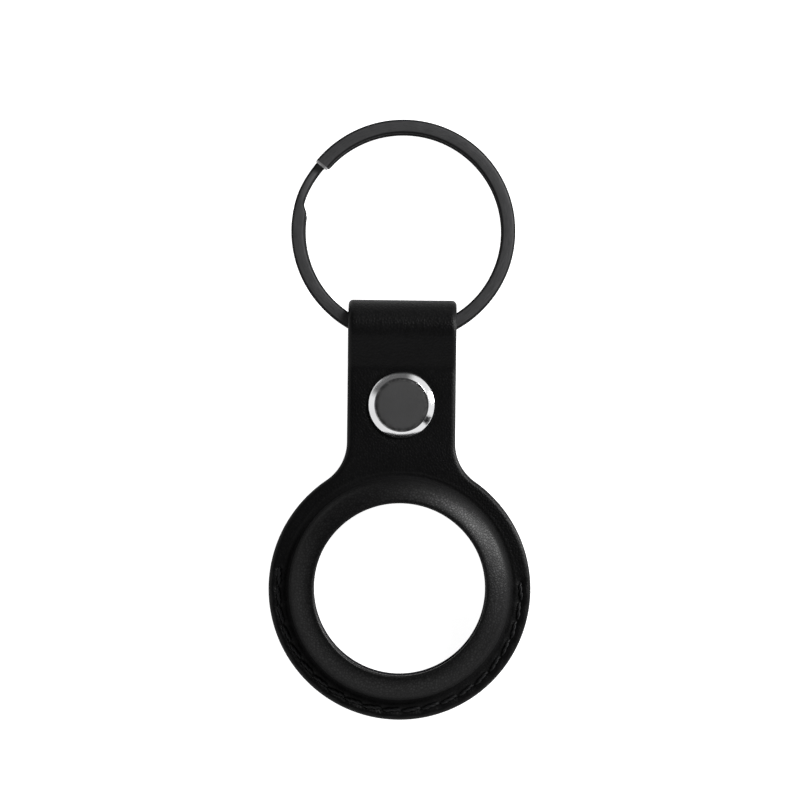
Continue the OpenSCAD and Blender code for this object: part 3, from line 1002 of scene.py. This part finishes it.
def stitch_tree():
    """Geometry nodes that lay a run of two-ply stitches round an arc."""
    tree = bpy.data.node_groups.new("Saddle stitches", "GeometryNodeTree")
    tree.interface.new_socket(name="Geometry", in_out="OUTPUT", socket_type="NodeSocketGeometry")
    defaults = {"Radius": 18.76 * MM, "Start": 0.0, "Turn": math.pi, "Height": 1.4 * MM, "Thread": 0.55 * MM,
                "Dip": 0.5 * MM, "Slant": 0.12, "Facing": 1.0, "Count": 21, "Seed": 7}
    for label, default in defaults.items():
        kind = "NodeSocketInt" if isinstance(default, int) else "NodeSocketFloat"
        tree.interface.new_socket(name=label, in_out="INPUT", socket_type=kind).default_value = default
    tree.interface.new_socket(name="Material", in_out="INPUT", socket_type="NodeSocketMaterial")
    inside = tree.nodes.new("NodeGroupInput").outputs
    end = tree.nodes.new("NodeGroupOutput").inputs

    def calc(operation, *values):
        return math_node(tree, operation, *values)

    def vector(**axes):
        return add(tree, "ShaderNodeCombineXYZ", axes).outputs[0]

    def times(a, b):
        return calc("MULTIPLY", a, b)

    pitch_turn = calc("DIVIDE", inside["Turn"], inside["Count"])
    pitch = times(pitch_turn, inside["Radius"])
    gap_share, offset_share, radius_share, slant_jitter = 0.35, 0.2, 0.31, 0.25
    half = times(calc("SUBTRACT", pitch, times(inside["Thread"], gap_share)), 0.5)
    # One ply is a line that is bent into an arch and wound round the thread's middle
    ply_points, ply_sides, winding, arch_power = 22, 8, 9.5, 5.0
    ply_offset = times(inside["Thread"], offset_share)
    stitch = add(tree, "GeometryNodeJoinGeometry")
    for first_turn in (0.0, math.pi):
        line = add(tree, "GeometryNodeCurvePrimitiveLine",
                   {"Start": vector(X=times(half, -1.0)), "End": vector(X=half)})
        points = add(tree, "GeometryNodeResampleCurve", {"Curve": line.outputs[0], "Count": ply_points})
        share = add(tree, "GeometryNodeSplineParameter").outputs["Factor"]
        centred = calc("SUBTRACT", times(share, 2.0), 1.0)
        ends = calc("POWER", calc("ABSOLUTE", centred), arch_power)
        arch = times(times(ends, inside["Dip"]), -1.0)
        twist = calc("ADD", times(share, winding), first_turn)
        offset = vector(Y=times(calc("COSINE", twist), ply_offset),
                        Z=calc("MULTIPLY_ADD", calc("SINE", twist), ply_offset, arch))
        wound = add(tree, "GeometryNodeSetPosition", {"Geometry": points.outputs[0], "Offset": offset})
        section = add(tree, "GeometryNodeCurvePrimitiveCircle",
                      {"Resolution": ply_sides, "Radius": times(inside["Thread"], radius_share)})
        tube = add(tree, "GeometryNodeCurveToMesh", {
            "Curve": wound.outputs[0], "Profile Curve": section.outputs[0], "Fill Caps": True})
        tree.links.new(tube.outputs[0], stitch.inputs[0])
    shaded = add(tree, "GeometryNodeSetShadeSmooth", {"Geometry": stitch.outputs[0]}).outputs[0]
    # One point for each stitch, turned along the seam with a small slant
    index = add(tree, "GeometryNodeInputIndex").outputs[0]
    jitter = add(tree, "FunctionNodeRandomValue", {2: -1.0, 3: 1.0, "ID": index, "Seed": inside["Seed"]},
                 data_type="FLOAT").outputs[1]
    angle = calc("ADD", inside["Start"], times(calc("ADD", index, 0.5), pitch_turn))
    position = vector(X=times(calc("COSINE", angle), inside["Radius"]),
                      Y=times(calc("SINE", angle), inside["Radius"]), Z=inside["Height"])
    spots = add(tree, "GeometryNodePoints", {"Count": inside["Count"], "Position": position})
    lean = times(inside["Slant"], calc("MULTIPLY_ADD", jitter, slant_jitter, 1.0))
    heading = calc("ADD", calc("ADD", angle, math.pi / 2), lean)
    turned_over = times(calc("SUBTRACT", 1.0, inside["Facing"]), math.pi / 2)
    laid = add(tree, "GeometryNodeInstanceOnPoints", {
        "Points": spots.outputs[0], "Instance": shaded, "Rotation": vector(X=turned_over, Z=heading)})
    whole = add(tree, "GeometryNodeRealizeInstances", {0: laid.outputs[0]})
    finished = add(tree, "GeometryNodeSetMaterial",
                   {"Geometry": whole.outputs[0], "Material": inside["Material"]})
    tree.links.new(finished.outputs[0], end[0])
    return tree


def run_tree(name, tree, values):
    """The plain mesh that a geometry tree makes with these input values."""
    carrier = new_piece(name + "_carrier", bpy.data.meshes.new(name + "_carrier"))
    modifier = carrier.modifiers.new("Stitches", "NODES")
    modifier.node_group = tree
    for item in tree.interface.items_tree:
        if item.in_out == "INPUT" and item.name in values:
            modifier[item.identifier] = values[item.name]
    ready = carrier.evaluated_get(bpy.context.evaluated_depsgraph_get())
    mesh = bpy.data.meshes.new_from_object(ready)
    carrier.modifiers.clear()
    bpy.data.objects.remove(carrier)
    return mesh


class TAG_OT_stitching(bpy.types.Operator):
    """The seam's thread on both faces of the disc"""
    bl_idname = "tag.stitching"
    bl_label = "Stitching"

    def execute(self, context):
        seam = context.scene.tag_seam
        tree = stitch_tree()
        sunk = WALL_T - seam.groove + seam.thread_d * THREAD_PROUD
        common = {"Radius": seam.radius, "Start": seam.start, "Turn": seam.turn, "Thread": seam.thread_d,
                  "Dip": seam.thread_d, "Count": seam.count, "Material": material("waxed_thread")}
        body = bmesh.new()
        for name, facing, seed in (("front_stitches", 1.0, 7), ("back_stitches", -1.0, 11)):
            values = {**common, "Height": sunk * facing, "Facing": facing, "Seed": seed}
            body.from_mesh(run_tree(name, tree, values))
        mesh = bpy.data.meshes.new("seam_stitches")
        body.to_mesh(mesh)
        body.free()
        mesh.shade_smooth()
        dress(new_piece("seam_stitches", mesh), "holder", "thread", "waxed_thread", "seam_thread")
        return {"FINISHED"}


def lathe(name, profile, centre, steps):
    """A solid of revolution about a vertical axis, from a section that starts and ends on it."""
    verts, rings = [], []
    for r, z in profile:
        count = steps if r > 0 else 1
        rings.append([len(verts) + i % count for i in range(steps + 1)])
        turned = [way(2 * math.pi * i / steps) * r + centre for i in range(count)]
        verts += [(x, y, z) for x, y in turned]
    # A face at a pole names it twice, so it becomes a triangle
    faces = [tuple(dict.fromkeys((a[i], a[i + 1], b[i + 1], b[i])))
             for a, b in zip(rings, rings[1:]) for i in range(steps)]
    mesh = bpy.data.meshes.new(name)
    mesh.from_pydata(verts, [], faces)
    mesh.shade_smooth()
    return new_piece(name, mesh)


def cap_profile(sizes):
    """The cap's section: rolled tube, foot pressed into the leather, edge, domed bevel and face."""
    bottom = low("snap_cap").z
    roll_w, roll_t, metal_t = 0.5 * MM, 0.25 * MM, 0.3 * MM
    sunk, foot_w, foot_r = WALL_T - 0.12 * MM, 0.3 * MM, 0.08 * MM
    crease = np.array([sizes.face_r, CAP_TOP])
    corner = np.array([CAP_R - sizes.rounding, WALL_T + sizes.edge_h])
    turn = math.radians(50)
    rolled = [corner + sizes.rounding * way(turn * i / 8) for i in range(9)]
    # The bevel bulges between the slopes at its two ends
    inner_slope, outer_slope = math.tan(math.radians(27)), 1 / math.tan(turn)
    run = rolled[-1][0] - crease[0]
    fall = crease[1] - rolled[-1][1]
    reach = (outer_slope * run - fall) / (outer_slope - inner_slope)
    bend = crease + np.array([reach, -reach * inner_slope])
    shares = (0.12, 0.25, 0.4, 0.55, 0.7, 0.82, 0.92, 0.97)
    bevel = [rolled[-1] * (1 - t) ** 2 + bend * 2 * t * (1 - t) + crease * t * t for t in shares]
    # The groove's depth, as a share, at distances in millimetres inside the face's edge
    groove = ((0.015, 0.0), (0.06, 0.25), (0.13, 0.8), (0.2, 1.0), (0.3, 0.8), (0.42, 0.3), (0.6, 0.1),
              (0.9, 0.0))
    return [
        (0, WALL_T + metal_t), (sizes.tube_r - metal_t, WALL_T), (sizes.tube_r - metal_t, bottom),
        (sizes.tube_r + roll_w, bottom), (sizes.tube_r + roll_w, bottom + roll_t),
        (sizes.tube_r, bottom + roll_t), (sizes.tube_r, WALL_T), (CAP_R - foot_w, sunk),
        (CAP_R - foot_r, sunk), (CAP_R, sunk + foot_r), *map(tuple, [*rolled, *bevel, crease]),
        *[(sizes.face_r - inwards * MM, CAP_TOP - sizes.groove * depth) for inwards, depth in groove],
        *[(sizes.face_r * share, CAP_TOP) for share in (0.6, 0.4, 0.2)], (0, CAP_TOP)]


class TAG_OT_press_stud(bpy.types.Operator):
    """The press stud: polished cap in front, and its plated socket, spring, stud and post"""
    bl_idname = "tag.press_stud"
    bl_label = "Press Stud"

    def execute(self, context):
        sizes = context.scene.tag_cap
        cap = lathe("cap_button", cap_profile(sizes), (0, SNAP_Y), CAP_STEPS)
        radius = np.array([math.hypot(v.co.x, v.co.y - SNAP_Y) for v in cap.data.vertices])
        height = np.array([v.co.z for v in cap.data.vertices])
        slack, groove_in, groove_w = 0.002 * MM, 0.25 * MM, 0.35 * MM
        on_face = (radius < sizes.face_r + slack) & (height > CAP_TOP - 2 * sizes.groove)
        from_groove = np.abs(sizes.face_r - groove_in - radius)
        set_attribute(cap.data, "face", on_face)
        set_attribute(cap.data, "groove", on_face * np.clip(1.3 - from_groove / groove_w, 0, 1))
        dress(cap, "holder", "cap", "polished_cap", "snap_cap")
        for name in ("snap_socket", "snap_spring", "snap_stud", "snap_post"):
            dress(frame["nodes"][name], None, "steel", "plated_steel")
        return {"FINISHED"}


def wire_outline(width, thickness, rounding, steps=6):
    """The wire's section: its points, how near each is to a corner, and how flat it lies."""
    flat_from, flat_over = 0.93, 0.06
    points = []
    for corner in range(4):
        cx = (width / 2 - rounding) * (1 if corner in (0, 3) else -1)
        cy = (thickness / 2 - rounding) * (1 if corner in (0, 1) else -1)
        for i in range(steps + 1):
            a = math.pi / 2 * (corner + i / steps)
            near = 1 - abs(i / steps - 0.5) * 2
            flat = min(max((abs(math.sin(a)) - flat_from) / flat_over, 0.0), 1.0)
            points.append((cx + rounding * math.cos(a), cy + rounding * math.sin(a), near, flat))
        if corner in (0, 2):
            points.append((0, points[-1][1], 0.0, 1.0))
    return points


def wire_stations(whole, bevel_turn):
    """Where along its turns the wire has a section: evenly, and closer at its bevelled ends."""
    count = int(math.degrees(whole) / WIRE_STEP_DEGREES)
    even = [whole * i / count for i in range(count + 1)]
    near_end = [bevel_turn * share for share in (0.0, 0.15, 0.5, 1.0)]
    return sorted(set(even[1:-1] + near_end + [whole - turned for turned in near_end]))


class TAG_OT_split_ring(bpy.types.Operator):
    """The split ring: one wire of two turns, with a crank between them"""
    bl_idname = "tag.split_ring"
    bl_label = "Split Ring"

    def execute(self, context):
        ring = context.scene.tag_ring
        outer_r = ring.diameter / 2
        full = 2 * math.pi - ring.crank
        whole = 2 * full + ring.crank - ring.end_short
        lift = (ring.wire_t + ring.turn_gap) / 2
        front_taper, back_taper = math.radians(6), math.radians(2.2)
        bevel, least_rounding, side_stretch, crank_dull_and_shade = 0.12 * MM, 0.05 * MM, 1.7, 0.4
        bevel_depth = bevel * 0.8
        verts, corner, flat, bare, along = [], [], [], [], []
        walked = last = 0.0
        turns = wire_stations(whole, bevel / outer_r)
        for turned in turns:
            angle = ring.end - turned
            past = turned - full
            crank_share = past / ring.crank
            z = lift * (1 - 2 * smooth(crank_share))
            into = min(smooth(past / front_taper + 1), smooth((ring.crank - past) / back_taper + 1))
            width = ring.wire_w + (ring.crank_w - ring.wire_w) * into
            centre_r = outer_r - width / 2 - ring.turn_step * smooth(crank_share)
            from_end = min(turned, whole - turned) * outer_r
            left = 1 - min(from_end / bevel, 1)
            shrink = bevel_depth - bevel_depth * math.sqrt(max(0.0, 1 - left ** 2))
            walked += (turned - last) * outer_r
            last = turned
            section = wire_outline(width - 2 * shrink, ring.wire_t - 2 * shrink,
                                   max(ring.rounding - shrink, least_rounding))
            for px, py, near, level in section:
                verts.append(((centre_r + px) * math.cos(angle), (centre_r + px) * math.sin(angle), z + py))
                corner.append(near)
                # The crank is made duller and darker: less metal and more roughness, and painted shade from
                # the near-black side colour mixed into its colour
                flat.append(level * (1 - crank_dull_and_shade * into))
                bare.append(float(from_end < bevel * 1.05))
                along.append((walked, px + py * side_stretch))
        count = len(section)
        rows = len(turns)
        faces = [(i * count + j, i * count + k, (i + 1) * count + k, (i + 1) * count + j)
                 for i in range(rows - 1) for j in range(count) for k in [(j + 1) % count]]
        faces.append(tuple(range(count))[::-1])
        faces.append(tuple((rows - 1) * count + j for j in range(count)))
        mesh = bpy.data.meshes.new("split_ring_wire")
        mesh.from_pydata(verts, [], faces)
        mesh.shade_smooth()
        set_attribute(mesh, "corner", corner)
        set_attribute(mesh, "flat", flat)
        set_attribute(mesh, "bare", bare)
        uv = mesh.uv_layers.new(name="wire")
        for loop in mesh.loops:
            uv.data[loop.index].uv = along[loop.vertex_index]
        mesh.transform(ring_place(ring))
        body = bmesh.new()
        body.from_mesh(mesh)
        bmesh.ops.recalc_face_normals(body, faces=body.faces)
        body.to_mesh(mesh)
        body.free()
        dress(new_piece("split_ring_wire", mesh), "ring", "ring", "black_plated_ring", "split_ring")
        return {"FINISHED"}


def ring_place(ring):
    """Where the ring lies: its near side in the loop, and its far side on the floor."""
    inner_r = ring.diameter / 2 - ring.wire_w - ring.turn_step
    near = math.sqrt(inner_r ** 2 - STRAP_HALF ** 2)
    offset = (near + ring.diameter / 2) / 2
    reach = offset + ring.diameter / 2 - ring.rounding
    drop = LOOP.z - REST_Z - ring.rounding
    below = ring.wire_t + ring.turn_gap / 2 - ring.rounding
    droop = math.asin(drop / math.hypot(reach, below)) - math.atan2(below, reach)
    return (Matrix.Translation(LOOP) @ Matrix.Rotation(-droop, 4, "X")
            @ Matrix.Translation((0, offset, 0)))


def area_lamp(name, place, target, size, power):
    """A square lamp that lights the target, and that the camera doesn't see."""
    data = bpy.data.lights.new(name, "AREA")
    data.shape = "SQUARE"
    data.size = size
    data.energy = power
    lamp = new_piece(name, data)
    lamp.location = place
    lamp.visible_camera = False
    lamp.rotation_mode = "QUATERNION"
    lamp.rotation_quaternion = (Vector(target) - lamp.location).to_track_quat("-Z", "Y")


def side_mask(tree, value, centre, half, soft):
    """1 within half of the centre, and 0 a soft edge further out."""
    apart = math_node(tree, "ABSOLUTE", math_node(tree, "SUBTRACT", value, centre))
    return add(tree, "ShaderNodeMapRange", {0: apart, 1: half, 2: half + soft, 3: 1.0, 4: 0.0},
               interpolation_type="SMOOTHSTEP").outputs[0]


def hung_cloth(tree, azimuth, height, across, up):
    """A mask for a cloth, from its centre, half size and soft edge across, in degrees, and up."""
    sides = side_mask(tree, azimuth, *(math.radians(a) for a in across))
    return math_node(tree, "MULTIPLY", sides, side_mask(tree, height, *up))


def studio_world():
    """Pale all round and dark overhead, with a dark cloth beyond the ring and a small flag."""
    world = bpy.data.worlds.new("Studio")
    bpy.context.scene.world = world
    world.use_nodes = True
    tree = world.node_tree
    x, y, height = add(tree, "ShaderNodeSeparateXYZ", {
        0: add(tree, "ShaderNodeTexCoord").outputs["Generated"]}).outputs
    ramp = add(tree, "ShaderNodeValToRGB", {0: height})
    first, last = ramp.color_ramp.elements
    first.position, first.color = 0.08, (1, 1, 1, 1)
    last.position, last.color = 1.0, (0.03, 0.03, 0.03, 1)
    for position, level in ((0.2, 0.95), (0.63, 0.95), (0.69, 0.85), (0.76, 0.3), (0.83, 0.04)):
        ramp.color_ramp.elements.new(position).color = (level, level, level, 1)
    azimuth = math_node(tree, "ARCTAN2", y, x)
    cloth = hung_cloth(tree, azimuth, height, (115, 33, 22), (0.55, 0.33, 0.12))
    flag = hung_cloth(tree, azimuth, height, (-30, 6, 4), (0.38, 0.2, 0.1))
    dark = math_node(tree, "MAXIMUM", math_node(tree, "MULTIPLY", cloth, 0.85), flag)
    lit = scaled(tree, ramp.outputs[0], math_node(tree, "SUBTRACT", 1.0, dark))
    background = tree.nodes["Background"]
    tree.links.new(lit, background.inputs[0])
    background.inputs[1].default_value = 1.0


def floor_material():
    """White paper that keeps the holder's soft shadow."""
    made, tree, shader = new_material("white_floor", Roughness=0.9, Specular_IOR_Level=0.1)
    fibre = add(tree, "ShaderNodeTexNoise", {"Scale": 900.0, "Detail": 3.0}).outputs[0]
    feed(tree, shader, Base_Color=mottled(tree, fibre, (1, 1, 1), 0.9, 0.94))
    rays = add(tree, "ShaderNodeLightPath").outputs
    mirrored = math_node(tree, "MAXIMUM", rays["Is Glossy Ray"], rays["Is Transmission Ray"])
    seen = math_node(tree, "MULTIPLY", rays["Is Camera Ray"], 0.93)
    glow = add(tree, "ShaderNodeEmission", {"Strength": math_node(tree, "MULTIPLY_ADD", mirrored, 0.1, seen)})
    both = add(tree, "ShaderNodeAddShader", {0: shader.outputs[0], 1: glow.outputs[0]})
    tree.links.new(both.outputs[0], tree.nodes["Material Output"].inputs[0])
    return made


class TAG_OT_studio(bpy.types.Operator):
    """The floor, lamps, world and camera"""
    bl_idname = "tag.studio"
    bl_label = "Studio"

    def execute(self, context):
        scene = context.scene
        studio = scene.tag_studio
        centre = (studio.centre_x, studio.centre_y, 0)
        reach = 3.0
        mesh = bpy.data.meshes.new("floor")
        corners = [(x * reach, y * reach, REST_Z) for x, y in ((-1, -1), (1, -1), (1, 1), (-1, 1))]
        mesh.from_pydata(corners, [], [(0, 1, 2, 3)])
        mesh.materials.append(floor_material())
        new_piece("floor", mesh)
        area_lamp("key_lamp", (0.50, 0.45, 0.61), centre, 0.30, 5.0)
        area_lamp("edge_lamp", (0.16, 0.07, 0.03), centre, 0.05, 0.19)
        studio_world()
        scene.view_settings.view_transform = "Standard"
        data = bpy.data.cameras.new("camera")
        data.sensor_width = 36
        data.lens = data.sensor_width * studio.distance / studio.view_w
        data.clip_start = 0.01
        data.clip_end = 20
        camera = new_piece("camera", data)
        camera.location = (studio.centre_x, studio.centre_y, studio.distance)
        camera.rotation_euler = (0, 0, studio.roll)
        scene.camera = camera
        return {"FINISHED"}


class TAG_PT_panel(bpy.types.Panel):
    """The holder's operators and settings"""
    bl_idname = "TAG_PT_panel"
    bl_label = "Tag Holder"
    bl_space_type = "VIEW_3D"
    bl_region_type = "UI"
    bl_category = "Tag Holder"

    def draw(self, context):
        for operator in OPERATORS:
            self.layout.operator(operator.bl_idname)
        for name in GROUPS:
            box = self.layout.box()
            settings = getattr(context.scene, name)
            for label in settings.__annotations__:
                box.prop(settings, label)


GROUPS = {
    "tag_leather": LeatherSizes, "tag_seam": SeamSizes, "tag_ring": RingSizes, "tag_cap": CapSizes,
    "tag_finishes": Finishes, "tag_studio": StudioSizes,
}
OPERATORS = (
    TAG_OT_studio, TAG_OT_front_leather, TAG_OT_back_leather, TAG_OT_strap_tail,
    TAG_OT_stitching, TAG_OT_press_stud, TAG_OT_split_ring,
)


def register():
    for name, kind in GROUPS.items():
        bpy.utils.register_class(kind)
        setattr(bpy.types.Scene, name, bpy.props.PointerProperty(type=kind))
    for kind in (*OPERATORS, TAG_PT_panel):
        bpy.utils.register_class(kind)


def unregister():
    for kind in (*OPERATORS, TAG_PT_panel):
        bpy.utils.unregister_class(kind)
    for name, kind in GROUPS.items():
        delattr(bpy.types.Scene, name)
        bpy.utils.unregister_class(kind)


def main():
    register()
    bpy.ops.tag.studio()
    bpy.ops.tag.front_leather()
    bpy.ops.tag.back_leather()
    bpy.ops.tag.strap_tail()
    bpy.ops.tag.stitching()
    bpy.ops.tag.press_stud()
    bpy.ops.tag.split_ring()


if __name__ == "__main__":
    main()
